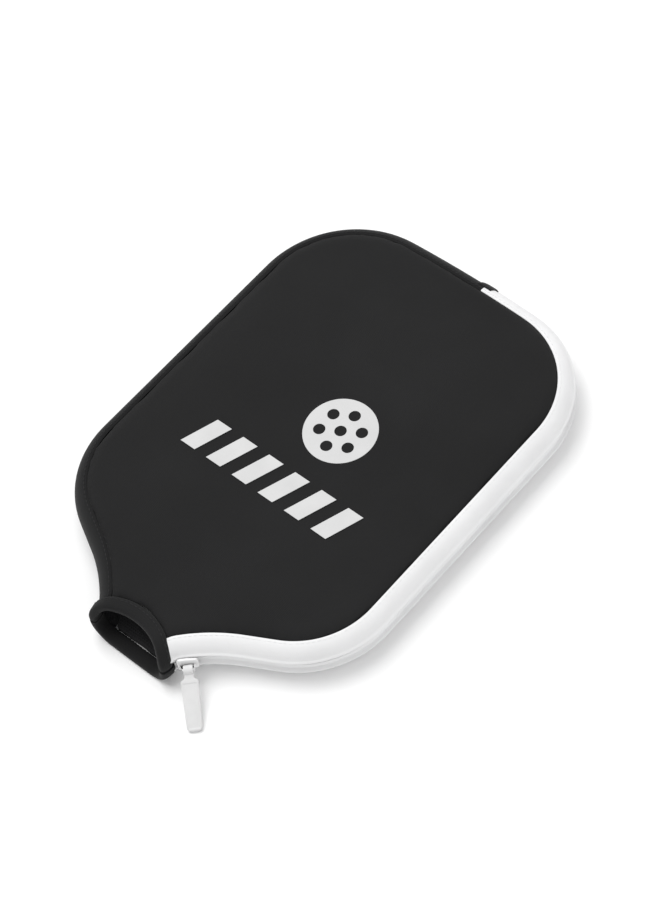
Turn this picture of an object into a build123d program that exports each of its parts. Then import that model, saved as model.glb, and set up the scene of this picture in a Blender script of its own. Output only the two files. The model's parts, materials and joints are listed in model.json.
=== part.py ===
from build123d import *
import math
import os

# Soft zip-up cover for a racket-sport paddle, lying on its back panel.
# +X is the zip side, +Y runs from the neck to the top of the head, +Z is up through the front panel.
# The origin is on the underside, halfway between the neck seam and the top seam.

# ---- overall sizes, mm ------------------------------------------------------------------------
panel_width = 200.0          # across the head, seam to seam
panel_length = 284.0         # neck seam to top seam
case_thickness = 30.0
side_bulge = 9.0             # how far the side wall stands out past the panel seams
edge_roll = 13.0             # radius of the rolled edge between a panel and the side wall

# ---- outline of the panels --------------------------------------------------------------------
neck_width = 43.0            # seam to seam where the neck collar is sewn on
neck_flare_angle = 50.0      # heading of the seam where it leaves the neck, from +X
neck_flare_radius = 110.0    # hollow curve from the neck to the shoulder
shoulder_angle = 27.5        # heading of the straight shoulder
shoulder_radius = 52.0
top_corner_radius = 57.0
top_bow = 4.8                # rise of the top seam between its corners
collar_angle = 80.0          # heading of the neck sides inside the collar
collar_blend = 16.0          # radius where the collar meets the flare

# ---- laminate and trims -----------------------------------------------------------------------
face_thickness = 0.6         # outer knit
foam_thickness = 2.8
lining_thickness = 0.6       # inner knit
tape_thickness = 0.7         # woven zip tape
binding_thickness = 0.6      # strip over the inner seams
binding_width = 9.0
binding_neck_gap = 25.0      # the strips stop this far short of the neck seam
collar_width = 9.0
front_scoop = 5.5            # how far the front neck edge dips towards the head
end_tab_length = 8.0         # fabric tab over the head end of the zip
end_tab_height = 22.0
end_tab_thickness = 1.0
print_thickness = 0.15

# ---- zip --------------------------------------------------------------------------------------
zip_end_x = 12.0             # where the zip ends on the top edge
coil_thickness = 2.4         # behind the tape
coil_height = 3.0            # each half, up from the parting line
parting_gap = 1.6            # between the two halves of the zip, for the slider's post
stop_length = 1.6
stop_inset = 0.1             # from the end of the tape, and again to the coil
stop_height = 2.6
bottom_stop_length = 2.5
slider_length = 12.0
slider_nose_width = 10.0
slider_tail_width = 8.0
slider_plate = 1.6
slider_corner = 1.8
slider_play = 1.1            # between the outer plate and the tape
slider_inner_play = 1.3      # between the inner plate and the coils
slider_end_gap = 0.5         # between the slider and the top stops
post_thickness = 0.8
post_length = 3.0
post_inset = 0.4             # from the slider's nose
bridge_width = 2.0
bridge_bar = 1.4
bridge_foot = 1.6
bridge_span = 6.4            # clear length under the bar
pull_length = 34.0
pull_width = 10.0
pull_tip_width = 8.6
pull_thickness = 1.8
pull_eye_radius = 2.8
pull_eye_hole = 1.6
pull_eye_width = 5.4
pull_play = 0.3              # between the pull's eye and the slider
pull_neck = 1.4              # narrow length past the eye
pull_shoulder = 2.0          # over which the strap widens
pull_tip_radius = 2.5
pull_floor_gap = 0.4         # under the tip of the pull

# ---- clearances -------------------------------------------------------------------------------
fold_gap = 0.3               # between the opening part of the front panel and the fixed part
split_gap = 0.3              # between the two neck collars on the zip side
stop_play = 0.5              # between the bottom stop and the front tape, which lifts off it
fold_inset = 1.0             # how far inside the neck's seam the fold line starts

# ---- print ------------------------------------------------------------------------------------
ball_radius = 22.0
ball_x = 12.0
ball_y = 16.0
ball_hole_radius = 3.6
ball_hole_ring = 12.5        # centres of the outer ring of holes
ball_hole_count = 6
bar_count = 6
bar_height = 23.0
bar_width = 11.0
bar_pitch = 20.0
bar_slant = 20.0             # degrees
bar_row_y = -32.0

# ---- worked out from the sizes above ----------------------------------------------------------
half_width = panel_width / 2
neck_half = neck_width / 2
neck_y = -panel_length / 2
top_y = panel_length / 2
mid_z = case_thickness / 2
roll = min(edge_roll, mid_z - 1.0)
wall = face_thickness + foam_thickness + lining_thickness
margin = 2.0                 # by which the cutting solids run past the case


def heading(angle):
    """Unit vector at this angle from +X."""
    return Vector(math.cos(math.radians(angle)), math.sin(math.radians(angle)), 0)


def outward(angle):
    """Unit vector to the right of a line with this heading, out of the zip side."""
    return Vector(math.sin(math.radians(angle)), -math.cos(math.radians(angle)), 0)


neck_corner = Vector(neck_half, neck_y, 0)
flare_centre = neck_corner + outward(neck_flare_angle) * neck_flare_radius
flare_end = flare_centre - outward(shoulder_angle) * neck_flare_radius
flare_middle = flare_centre - outward((neck_flare_angle + shoulder_angle) / 2) * neck_flare_radius
shoulder_run = (half_width - flare_end.X) / math.cos(math.radians(shoulder_angle))
shoulder_corner = flare_end + heading(shoulder_angle) * shoulder_run
top_corner = Vector(half_width, top_y - top_bow, 0)
side_point = neck_corner + outward(neck_flare_angle) * side_bulge
mouth_y = side_point.Y - collar_width
tail_end_y = mouth_y - roll - margin + side_bulge
tail_end = neck_corner - heading(collar_angle) * ((neck_y - tail_end_y) / math.sin(math.radians(collar_angle)))
tail_corner_radius = max(roll + 1.0 - side_bulge, 1.0)


def mirrored(point):
    return Vector(-point.X, point.Y, point.Z)


# Seam line: neck tail, hollow flare, shoulder, side, bowed top, and the same mirrored.
with BuildSketch() as seam_outline:
    with BuildLine():
        Line(mirrored(tail_end), tail_end)
        Line(tail_end, neck_corner)
        ThreePointArc(neck_corner, flare_middle, flare_end)
        Line(flare_end, shoulder_corner)
        Line(shoulder_corner, top_corner)
        ThreePointArc(top_corner, (0, top_y), mirrored(top_corner))
        Line(mirrored(top_corner), mirrored(shoulder_corner))
        Line(mirrored(shoulder_corner), mirrored(flare_end))
        ThreePointArc(mirrored(flare_end), mirrored(flare_middle), mirrored(neck_corner))
        Line(mirrored(neck_corner), mirrored(tail_end))
    make_face()
    for corner, radius in (
        (tail_end, tail_corner_radius),
        (neck_corner, collar_blend),
        (shoulder_corner, shoulder_radius),
        (top_corner, top_corner_radius),
    ):
        pair = seam_outline.vertices().filter_by(lambda v: (Vector(abs(v.X), v.Y, 0) - corner).length < 0.01)
        fillet(pair, radius=radius)


def case_form(inset):
    """Closed pillow shape of the case, this far inside its outer surface."""
    with BuildPart() as form:
        with BuildSketch(Plane.XY.offset(inset)):
            add(seam_outline.sketch)
            offset(amount=side_bulge - inset)
        extrude(amount=case_thickness - 2 * inset)
        rims = form.edges().filter_by(lambda e: abs(e.bounding_box().size.Z) < 0.01)
        fillet(rims, radius=roll - inset)
    return form.part


def between(outer_inset, inner_inset):
    """Shell between two depths under the outer surface."""
    with BuildPart() as shell:
        add(case_form(outer_inset))
        add(case_form(inner_inset), mode=Mode.SUBTRACT)
    return shell.part


def prism(points, bottom, top):
    """Upright solid on a closed polygon."""
    with BuildPart() as block:
        with BuildSketch(Plane.XY.offset(bottom)):
            Polygon(*[(p.X, p.Y) for p in points], align=None)
        extrude(amount=top - bottom)
    return block.part


def seam_prism(growth):
    """Everything inside the seam line, grown by this much."""
    with BuildPart() as block:
        with BuildSketch(Plane.XY.offset(-margin)):
            add(seam_outline.sketch)
            if growth:
                offset(amount=growth)
        extrude(amount=case_thickness + 2 * margin)
    return block.part


# ---- regions that divide the case into its pieces ---------------------------------------------
reach = panel_width + panel_length
fold_start = Vector(-neck_half + fold_inset, neck_y, 0)
fold_finish = Vector(zip_end_x, top_y, 0)
fold_way = (fold_finish - fold_start).normalized()
fold_side = Vector(fold_way.Y, -fold_way.X, 0)


def beside_fold(shift, side):
    """Everything on one side of the fold line: side 1 is the zip side, -1 the hinge side."""
    low = fold_start - fold_way * reach + fold_side * shift
    high = fold_start + fold_way * reach + fold_side * shift
    far = fold_side * reach * side
    return prism([low, high, high + far, low + far], -margin, case_thickness + margin)


def slab(bottom, top):
    """Everything between two heights."""
    with BuildPart() as block:
        with BuildSketch(Plane.XY.offset(bottom)):
            Rectangle(2 * reach, 2 * reach)
        extrude(amount=top - bottom)
    return block.part


def above_front_line(drop):
    """Everything on the head's side of the scooped front neck line, moved this far out of the neck."""
    with BuildPart() as block:
        with BuildSketch(Plane.XY.offset(-margin)):
            with BuildLine():
                left = Vector(-side_point.X, side_point.Y - drop, 0)
                right = Vector(side_point.X, side_point.Y - drop, 0)
                ThreePointArc(left, (0, neck_y + front_scoop - drop), right)
                Polyline(right, (reach, right.Y), (reach, reach), (-reach, reach), (-reach, left.Y), left)
            make_face()
        extrude(amount=case_thickness + 2 * margin)
    return block.part


def above_back_line(drop):
    """Everything on the head's side of the straight back neck line."""
    low = side_point.Y - drop
    corner_points = [Vector(-reach, low, 0), Vector(reach, low, 0), Vector(reach, reach, 0), Vector(-reach, reach, 0)]
    return prism(corner_points, -margin, case_thickness + margin)


zip_side = beside_fold(fold_gap / 2, 1)
hinge_side = beside_fold(-fold_gap / 2, -1)
zip_side_back = beside_fold(0, 1)
hinge_side_back = beside_fold(0, -1)
front_half = slab(mid_z, case_thickness + margin)
back_half = slab(-margin, mid_z)
inside_seams = seam_prism(0)
front_head = above_front_line(0)
back_head = above_back_line(0)

depths = {"face": 0.0, "foam": face_thickness, "lining": face_thickness + foam_thickness, "inside": wall}
layers = [("face", "foam"), ("foam", "lining"), ("lining", "inside")]
pieces = {}


def piece(name, keep, drop=()):
    """Named piece: what the first region shares with all the others, less the drops."""
    with BuildPart() as made:
        add(keep[0])
        for region in keep[1:]:
            add(region, mode=Mode.INTERSECT)
        for region in drop:
            add(region, mode=Mode.SUBTRACT)
    made.part.label = name
    pieces[name] = made.part


# ---- front panel, back panel and side gusset: knit, foam and lining ---------------------------
for layer, next_layer in layers:
    shell = between(depths[layer], depths[next_layer])
    piece(f"front_{layer}_zip_side", [shell, inside_seams, front_half, front_head, zip_side])
    piece(f"front_{layer}_hinge_side", [shell, inside_seams, front_half, front_head, hinge_side])
    piece(f"back_{layer}", [shell, inside_seams, back_half, back_head])
    piece(f"gusset_{layer}_front_half", [shell, front_half, front_head, hinge_side], [inside_seams])
    piece(f"gusset_{layer}_back_half", [shell, back_half, back_head, hinge_side_back], [inside_seams])
    with BuildPart() as gusset:
        add(pieces.pop(f"gusset_{layer}_front_half"))
        add(pieces.pop(f"gusset_{layer}_back_half"))
    gusset.part.label = f"gusset_{layer}"
    pieces[f"gusset_{layer}"] = gusset.part

# ---- zip tapes, coils and stops ---------------------------------------------------------------
tape_shell = between(0, tape_thickness)
coil_shell = between(tape_thickness, tape_thickness + coil_thickness)
front_zip = slab(mid_z + parting_gap / 2, case_thickness + margin)
back_zip = slab(-margin, mid_z - parting_gap / 2)
front_coil_slab = slab(mid_z + parting_gap / 2, mid_z + parting_gap / 2 + coil_height)
back_coil_slab = slab(mid_z - parting_gap / 2 - coil_height, mid_z - parting_gap / 2)
piece("front_zip_tape", [tape_shell, front_zip, front_head, zip_side], [inside_seams])
piece("back_zip_tape", [tape_shell, back_zip, back_head, zip_side_back], [inside_seams])


def along_flare(length):
    """Heading of the side wall this far along it from the neck end of the zip."""
    return neck_flare_angle - math.degrees(length / (neck_flare_radius - side_bulge))


def wall_point(angle):
    """Point on the outer side wall where it has this heading, at mid height."""
    point = flare_centre - outward(angle) * (neck_flare_radius - side_bulge)
    return Vector(point.X, point.Y, mid_z)


def flare_sector(start, end):
    """Everything along the flare between two lengths from the neck end of the zip."""
    first = flare_centre - outward(along_flare(start)) * 1.5 * neck_flare_radius
    last = flare_centre - outward(along_flare(end)) * 1.5 * neck_flare_radius
    return prism([flare_centre, first, last], -margin, case_thickness + margin)


stop_zone = flare_sector(stop_inset, stop_inset + stop_length)
coil_start = flare_sector(-20.0, 2 * stop_inset + stop_length)
past_bottom_stop = beside_fold(bottom_stop_length + fold_gap, 1)
bottom_stop_zone = beside_fold(bottom_stop_length, -1)
for side, coil_slab, head, stop_top in (
    ("front", front_coil_slab, front_head, mid_z + parting_gap / 2 + stop_height),
    ("back", back_coil_slab, back_head, mid_z - parting_gap / 2),
):
    piece(f"{side}_zip_coil", [coil_shell, coil_slab, head, past_bottom_stop], [coil_start])
    stop_slab = slab(stop_top - stop_height, stop_top)
    piece(f"{side}_top_stop", [coil_shell, stop_slab, head, zip_side, stop_zone])

stop_block = slab(mid_z - stop_height, mid_z + stop_height)
front_relief_slab = slab(mid_z - parting_gap / 2, case_thickness + margin)
with BuildPart() as front_relief:
    add(between(tape_thickness, tape_thickness + stop_play))
    add(front_relief_slab, mode=Mode.INTERSECT)
top_only = prism(
    [Vector(-reach, 0, 0), Vector(reach, 0, 0), Vector(reach, reach, 0), Vector(-reach, reach, 0)],
    -margin,
    case_thickness + margin,
)
piece("bottom_stop", [coil_shell, stop_block, zip_side, bottom_stop_zone, top_only], [front_relief.part])
tab_shell = between(-end_tab_thickness, 0)
tab_zone = beside_fold(-fold_gap / 2 - end_tab_length, 1)
tab_slab = slab(mid_z - end_tab_height / 2, mid_z + end_tab_height / 2)
piece("zip_end_tab", [tab_shell, tab_zone, hinge_side, tab_slab, top_only])

# ---- neck collars -----------------------------------------------------------------------------
whole_wall = between(0, wall)
mouth_front = above_front_line(collar_width)
mouth_back = above_back_line(collar_width)
front_collar_slab = slab(mid_z + split_gap, case_thickness + margin)
piece("front_collar", [whole_wall, front_collar_slab, mouth_front, zip_side], [front_head])
piece("back_collar_lower", [whole_wall, back_half, mouth_back], [back_head])
piece("back_collar_upper", [whole_wall, front_half, mouth_front, hinge_side], [front_head])
with BuildPart() as back_collar:
    add(pieces.pop("back_collar_lower"))
    add(pieces.pop("back_collar_upper"))
back_collar.part.label = "back_collar"
pieces["back_collar"] = back_collar.part

# ---- strips over the inner seams --------------------------------------------------------------
binding_shell = between(wall, wall + binding_thickness)
inner_field = seam_prism(-binding_width)
past_neck = above_back_line(side_point.Y - neck_y - binding_neck_gap)
piece("front_binding_zip_side", [binding_shell, inside_seams, front_half, past_neck, zip_side], [inner_field])
piece("front_binding_hinge_side", [binding_shell, inside_seams, front_half, past_neck, hinge_side], [inner_field])
piece("back_binding", [binding_shell, inside_seams, back_half, past_neck], [inner_field])

# ---- slider -----------------------------------------------------------------------------------
slider_place = stop_inset + stop_length + slider_end_gap + slider_length / 2
slider_angle = along_flare(slider_place)
slider_point = wall_point(slider_angle)
way = heading(slider_angle)
out = outward(slider_angle)
plate_plane = Plane(origin=slider_point, x_dir=way, z_dir=out)
side_plane = Plane(origin=slider_point, x_dir=way, z_dir=(0, 0, -1))
inner_face = -tape_thickness - coil_thickness - slider_inner_play
outer_top = slider_play + slider_plate
nose = -slider_length / 2
tail = slider_length / 2

with BuildPart() as slider_body:
    for start in (slider_play, inner_face - slider_plate):
        with BuildSketch(plate_plane.offset(start)) as plate:
            with BuildLine():
                Polyline(
                    (nose, -slider_nose_width / 2),
                    (0, -slider_nose_width / 2),
                    (tail, -slider_tail_width / 2),
                    (tail, slider_tail_width / 2),
                    (0, slider_nose_width / 2),
                    (nose, slider_nose_width / 2),
                    close=True,
                )
            make_face()
            fillet(plate.vertices(), radius=slider_corner)
        extrude(amount=slider_plate)
    outer_rim = slider_body.faces().filter_by(plate_plane).sort_by(Axis(slider_point, out))[-1].edges()
    fillet(outer_rim, radius=slider_plate / 3)
    with BuildSketch(plate_plane.offset(inner_face)):
        with Locations((nose + post_length / 2 + post_inset, 0)):
            Rectangle(post_length, post_thickness)
    extrude(amount=slider_play - inner_face)
slider_body.part.label = "slider_body"
pieces["slider_body"] = slider_body.part

bar_height_out = outer_top + pull_eye_radius + pull_play
with BuildPart() as slider_bridge:
    with BuildSketch(side_plane) as arch:
        with BuildLine():
            Polyline(
                (-bridge_span / 2 - bridge_foot, outer_top),
                (-bridge_span / 2, outer_top),
                (-bridge_span / 2, bar_height_out - bridge_bar / 2),
                (bridge_span / 2, bar_height_out - bridge_bar / 2),
                (bridge_span / 2, outer_top),
                (bridge_span / 2 + bridge_foot, outer_top),
                (bridge_span / 2, bar_height_out + bridge_bar / 2),
                (-bridge_span / 2, bar_height_out + bridge_bar / 2),
                close=True,
            )
        make_face()
    extrude(amount=bridge_width / 2, both=True)
slider_bridge.part.label = "slider_bridge"
pieces["slider_bridge"] = slider_bridge.part

# ---- pull: eye round the bridge's bar, strap leaning out and down towards the floor ------------
bar_point = slider_point + out * bar_height_out
droop = math.asin((mid_z - pull_floor_gap - pull_thickness / 2) / pull_length)
pull_normal = Vector(0, 0, -math.cos(droop)) - out * math.sin(droop)
pull_plane = Plane(origin=bar_point, x_dir=way, z_dir=pull_normal)
eye_plane = Plane(origin=bar_point, x_dir=out, z_dir=way)
strap_start = pull_eye_radius + pull_neck
with BuildPart() as pull_tab:
    with BuildSketch(pull_plane) as strap:
        with BuildLine():
            Polyline(
                (-pull_eye_width / 2, 0),
                (pull_eye_width / 2, 0),
                (pull_eye_width / 2, strap_start),
                (pull_width / 2, strap_start + pull_shoulder),
                (pull_tip_width / 2, pull_length),
                (-pull_tip_width / 2, pull_length),
                (-pull_width / 2, strap_start + pull_shoulder),
                (-pull_eye_width / 2, strap_start),
                close=True,
            )
        make_face()
        tip = strap.vertices().filter_by(lambda v: (Vector(v) - bar_point).length > 0.9 * pull_length)
        fillet(tip, radius=pull_tip_radius)
    extrude(amount=pull_thickness / 2, both=True)
    with BuildSketch(eye_plane):
        Circle(pull_eye_radius)
    extrude(amount=pull_eye_width / 2, both=True)
    with BuildSketch(eye_plane):
        Circle(pull_eye_hole)
    extrude(amount=pull_width, both=True, mode=Mode.SUBTRACT)
pull_tab.part.label = "pull_tab"
pieces["pull_tab"] = pull_tab.part

# ---- print on the front panel: a ball with holes over a row of slanted bars -------------------
with BuildPart() as print_film:
    with BuildSketch(Plane.XY.offset(case_thickness)):
        with Locations((ball_x, ball_y)):
            Circle(ball_radius)
            Circle(ball_hole_radius, mode=Mode.SUBTRACT)
            with PolarLocations(ball_hole_ring, ball_hole_count):
                Circle(ball_hole_radius, mode=Mode.SUBTRACT)
        lean = bar_height * math.tan(math.radians(bar_slant)) / 2
        with GridLocations(bar_pitch, 1, bar_count, 1):
            with Locations((0, bar_row_y)):
                Polygon(
                    (-bar_width / 2 - lean, -bar_height / 2),
                    (bar_width / 2 - lean, -bar_height / 2),
                    (bar_width / 2 + lean, bar_height / 2),
                    (-bar_width / 2 + lean, bar_height / 2),
                    align=None,
                )
    extrude(amount=print_thickness)
piece("print_zip_side", [print_film.part, zip_side])
piece("print_hinge_side", [print_film.part, hinge_side])

os.makedirs("parts", exist_ok=True)
for name, made_part in pieces.items():
    export_step(made_part, f"parts/{name}.step")

print("slider pivot", flare_centre.X, flare_centre.Y, "slider at", slider_point, "heading", slider_angle)
print("zip travel in the flare", math.radians(neck_flare_angle - shoulder_angle) * (neck_flare_radius - side_bulge))
print("pull pivot", bar_point, "way", way, "out", out, "droop", math.degrees(droop))
print("fold line", fold_start, fold_finish, fold_way, "mouth y", mouth_y)
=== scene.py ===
import json
import math
import bmesh
import bpy
from mathutils import Matrix, Vector, noise
from mathutils.bvhtree import BVHTree
from mathutils.kdtree import KDTree


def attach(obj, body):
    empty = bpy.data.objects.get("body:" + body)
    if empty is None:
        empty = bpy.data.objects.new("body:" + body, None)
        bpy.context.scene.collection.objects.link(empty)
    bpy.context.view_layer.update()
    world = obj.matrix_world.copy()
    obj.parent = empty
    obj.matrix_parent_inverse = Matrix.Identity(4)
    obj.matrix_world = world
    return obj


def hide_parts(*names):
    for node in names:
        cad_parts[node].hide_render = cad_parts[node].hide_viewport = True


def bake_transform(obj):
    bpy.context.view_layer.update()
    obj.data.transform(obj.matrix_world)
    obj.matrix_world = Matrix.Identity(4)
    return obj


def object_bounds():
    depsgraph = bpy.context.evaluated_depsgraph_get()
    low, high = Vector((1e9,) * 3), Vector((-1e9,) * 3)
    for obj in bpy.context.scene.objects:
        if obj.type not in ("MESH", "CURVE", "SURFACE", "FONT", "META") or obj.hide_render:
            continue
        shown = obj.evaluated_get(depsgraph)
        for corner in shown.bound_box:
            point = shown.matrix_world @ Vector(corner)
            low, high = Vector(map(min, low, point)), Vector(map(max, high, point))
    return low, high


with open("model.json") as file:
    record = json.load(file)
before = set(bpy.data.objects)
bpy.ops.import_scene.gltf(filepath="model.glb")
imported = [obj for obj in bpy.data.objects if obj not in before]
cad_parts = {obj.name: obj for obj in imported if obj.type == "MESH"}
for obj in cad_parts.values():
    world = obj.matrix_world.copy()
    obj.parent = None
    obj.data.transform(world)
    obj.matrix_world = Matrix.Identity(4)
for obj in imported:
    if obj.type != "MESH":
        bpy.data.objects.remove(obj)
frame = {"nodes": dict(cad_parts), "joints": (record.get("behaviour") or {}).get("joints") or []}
cad_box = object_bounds()

# ---- Front panel ------------------------------------------------------------------------------
# One piece of neoprene foam, faced with matt black jersey and lined with looped knit. It is sewn
# face to face with the side wall and turned, so its edge rolls down into the seam all round.
mm = 0.001
up = Vector((0.0, 0.0, 1.0))
wall_bulge = 9.0
wall_roll = 13.0
roll_inset = 4.0
case_depth = 30.0
mid_depth = case_depth / 2
roll_level = case_depth - wall_roll
laminate = 4.0
head_half = cad_box[1].x / mm - wall_bulge
head_top = 142.0
top_bow = 4.8
corner_radius = 57.0
shoulder_radius = 52.0
flare_radius = 110.0
neck_radius = 16.0
neck_tail = 12.0
scoop_centre = -177.86
scoop_radius = 41.36
scoop_limit = 41.0
straight_neck_line = -147.785
shoulder_heading = math.radians(27.5)
neck_heading = math.radians(47.48)
tail_heading = math.radians(80.0)
joints = {joint["name"]: joint for joint in frame["joints"]}


def outward(heading):
    return Vector((math.sin(heading), -math.cos(heading), 0.0))


def forward(heading):
    return Vector((math.cos(heading), math.sin(heading), 0.0))


def joint_place(name):
    return Vector(joints[name]["pos_m"]) / mm


flare_centre = joint_place("zip_slider_travel")
flare_centre.z = 0.0
neck_centre = flare_centre - outward(neck_heading) * (flare_radius - neck_radius)
tail_start = neck_centre - outward(tail_heading) * neck_radius - forward(tail_heading) * neck_tail
shoulder_foot = flare_centre - outward(shoulder_heading) * flare_radius
shoulder_left = shoulder_foot - outward(shoulder_heading) * shoulder_radius
shoulder_run = (head_half - shoulder_radius - shoulder_left.x) / math.cos(shoulder_heading)
shoulder_centre = shoulder_left + forward(shoulder_heading) * shoulder_run
bow_radius = (head_half ** 2 + top_bow ** 2) / (2 * top_bow)
bow_centre = Vector((0.0, head_top - bow_radius, 0.0))
corner_lean = math.asin((head_half - corner_radius) / (bow_radius - corner_radius))
corner_heading = math.pi - corner_lean
corner_centre = bow_centre + outward(corner_heading) * (bow_radius - corner_radius)
seam_arcs = (
    (neck_centre, -neck_radius, tail_heading, neck_heading),
    (flare_centre, -flare_radius, neck_heading, shoulder_heading),
    (shoulder_centre, shoulder_radius, shoulder_heading, math.pi / 2),
    (corner_centre, corner_radius, math.pi / 2, corner_heading),
    (bow_centre, bow_radius, corner_heading, math.pi),
)


def along_seam(distance):
    """Where the panel seam of the zip side is, that far from the mouth, and its heading."""
    place = tail_start
    for centre, radius, first, last in seam_arcs:
        run = (centre + outward(first) * radius - place).length
        bend = abs(radius * (last - first))
        if distance <= run:
            return place + forward(first) * distance, first
        if distance <= run + bend:
            heading = first + (last - first) * (distance - run) / bend
            return centre + outward(heading) * radius, heading
        distance -= run + bend
        place = centre + outward(last) * radius
    return place, last


half_seam = 0.0
seam_place = tail_start
for centre, radius, first, last in seam_arcs:
    half_seam += (centre + outward(first) * radius - seam_place).length
    half_seam += abs(radius * (last - first))
    seam_place = centre + outward(last) * radius


def around_head(distance):
    """The seam from the zip side of the mouth, over the head, to the hinge side of the mouth."""
    point, heading = along_seam(min(distance, 2 * half_seam - distance))
    side = outward(heading)
    if distance > half_seam:
        point = Vector((-point.x, point.y, 0.0))
        side = Vector((-side.x, side.y, 0.0))
    return point, side


def scoop(x):
    """The hollow line of the front neck seam."""
    return scoop_centre + math.sqrt(scoop_radius ** 2 - min(abs(x), scoop_limit) ** 2)


def straight_neck(x):
    """The straight line of the back neck seam."""
    return straight_neck_line


def finished(bm, name):
    """A smooth-shaded object made of a finished bmesh."""
    for face in bm.faces:
        face.smooth = True
    mesh = bpy.data.meshes.new(name)
    bm.to_mesh(mesh)
    bm.free()
    piece = bpy.data.objects.new(name, mesh)
    bpy.context.scene.collection.objects.link(piece)
    return piece


def tree_of(points):
    """A tree that finds the nearest of many points."""
    tree = KDTree(len(points))
    for number, point in enumerate(points):
        tree.insert(point, number)
    tree.balance()
    return tree


seam_tree = tree_of([around_head(2 * half_seam * n / 4000)[0] for n in range(4001)])
seam_crease = 1.7
crease_width = 1.2
edge_steps = 220
panel_mesh = 4
held_rim = 3.5
swell_reach = 30.0
wave_size = 28.0
wave_height = 0.35


def crease(distance):
    """How deep the cloth is pulled in, that far from a line of sewing."""
    return seam_crease * math.exp(-distance / crease_width)


def cut_panel(name, neck_edge):
    """A panel's cut shape, with rings that follow its edge and a 4 mm mesh inside them."""
    first = 0.0
    while along_seam(first)[0].y < neck_edge(along_seam(first)[0].x):
        first += 0.05
    sewn = 2 * half_seam - 2 * first
    edge = [around_head(first + sewn * n / edge_steps)[0] for n in range(edge_steps + 1)]
    corner = edge[0].x
    edge += [Vector((x, neck_edge(x), 0.0)) for x in [-corner + corner * n / 6 for n in range(1, 12)]]
    bm = bmesh.new()
    ring = bm.faces.layers.int.new("ring")
    weave = bm.loops.layers.uv.new("weave")
    made = bmesh.ops.create_circle(bm, segments=len(edge), radius=1.0, cap_ends=True)
    for vertex, point in zip(made["verts"], edge):
        vertex.co = point
    bm.normal_update()
    face = bm.faces[:][0]
    if face.normal.z < 0:
        bmesh.ops.reverse_faces(bm, faces=[face])
    for width in (0.5, 0.7, 0.9, 1.3, 2.0):
        rim = bmesh.ops.inset_region(bm, faces=[face], thickness=width, use_even_offset=True)
        for strip in rim["faces"]:
            strip[ring] = 1
    for normal, low, high in ((Vector((1, 0, 0)), -96, 96), (Vector((0, 1, 0)), -144, 140)):
        for place in range(low, high + 1, panel_mesh):
            inside = [f for f in bm.faces if f[ring] == 0]
            geometry = set(inside)
            for f in inside:
                geometry.update(f.edges)
                geometry.update(f.verts)
            bmesh.ops.bisect_plane(bm, geom=list(geometry), plane_co=normal * place, plane_no=normal)
    loose = [v for v in bm.verts if all(f[ring] == 0 for f in v.link_faces)]
    bmesh.ops.remove_doubles(bm, verts=loose, dist=0.8)
    edge_tree = tree_of([a.lerp(b, n / 6) for a, b in zip(edge, edge[1:] + edge[:1]) for n in range(6)])
    depths = []
    for vertex in bm.verts:
        inset = seam_tree.find(vertex.co)[2]
        depths.append(edge_tree.find(vertex.co)[2])
        bend = max(roll_inset - inset, 0.0)
        vertex.co.z = roll_level + math.sqrt(wall_roll ** 2 - bend ** 2) - crease(depths[-1])
    for f in bm.faces:
        for loop in f.loops:
            loop[weave].uv = (loop.vert.co.x * mm, loop.vert.co.y * mm)
    bmesh.ops.scale(bm, vec=(mm, mm, mm), verts=bm.verts)
    return finished(bm, name), depths


def puff(piece, depths, crown, pressure):
    """Swells a panel held along its edge, as its foam does, and keeps the swelling under crown."""
    held = piece.vertex_groups.new(name="held")
    for number, depth in enumerate(depths):
        held.add([number], 1.0 if depth < held_rim else 0.0, "REPLACE")
    rest = [vertex.co.copy() for vertex in piece.data.vertices]
    rises = [crown * mm * (1 - math.exp(-(depth / swell_reach) ** 1.5)) for depth in depths]
    cloth = piece.modifiers.new("swell", "CLOTH")
    cloth.settings.vertex_group_mass = "held"
    cloth.settings.quality = 6
    cloth.settings.mass = 0.3
    cloth.settings.tension_stiffness = 25
    cloth.settings.compression_stiffness = 25
    cloth.settings.shear_stiffness = 15
    cloth.settings.bending_stiffness = 4
    cloth.settings.use_pressure = True
    cloth.settings.uniform_pressure_force = pressure
    cloth.settings.effector_weights.gravity = 0
    cloth.collision_settings.use_collision = False
    cloth.point_cache.frame_end = 20
    for step in range(1, 21):
        bpy.context.scene.frame_set(step)
    swollen = piece.evaluated_get(bpy.context.evaluated_depsgraph_get())
    rises = [max(now.co.z - was.z, 0.0) for now, was in zip(swollen.data.vertices, rest)]
    piece.modifiers.remove(cloth)
    bpy.context.scene.frame_set(1)
    share = crown * mm / max(rises)
    rises = [rise * share for rise in rises]
    for vertex, was, rise in zip(piece.data.vertices, rest, rises):
        share = min(rise / (crown * mm) * 3, 1.0)
        wave = noise.noise(was * wave_size) * wave_height * mm * share
        vertex.co = was + up * (rise + wave)
    piece.vertex_groups.remove(held)


def soften(piece, thickness=0.0):
    """Gives a sheet its thickness, where it has one, and smooths it."""
    if thickness:
        wall = piece.modifiers.new("laminate", "SOLIDIFY")
        wall.thickness = thickness * mm
        wall.offset = -1.0
        wall.use_even_offset = True
        wall.thickness_clamp = 1.0
        wall.material_offset = 1
        wall.material_offset_rim = 1
    smooth = piece.modifiers.new("smooth", "SUBSURF")
    smooth.levels = 1
    smooth.render_levels = 1


def node(tree, kind, **values):
    """A shader node with its settings and the values of its unlinked sockets."""
    made = tree.nodes.new(kind)
    for name, value in values.items():
        if hasattr(made, name):
            setattr(made, name, value)
        else:
            made.inputs[name.replace("_", " ")].default_value = value
    return made


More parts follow.
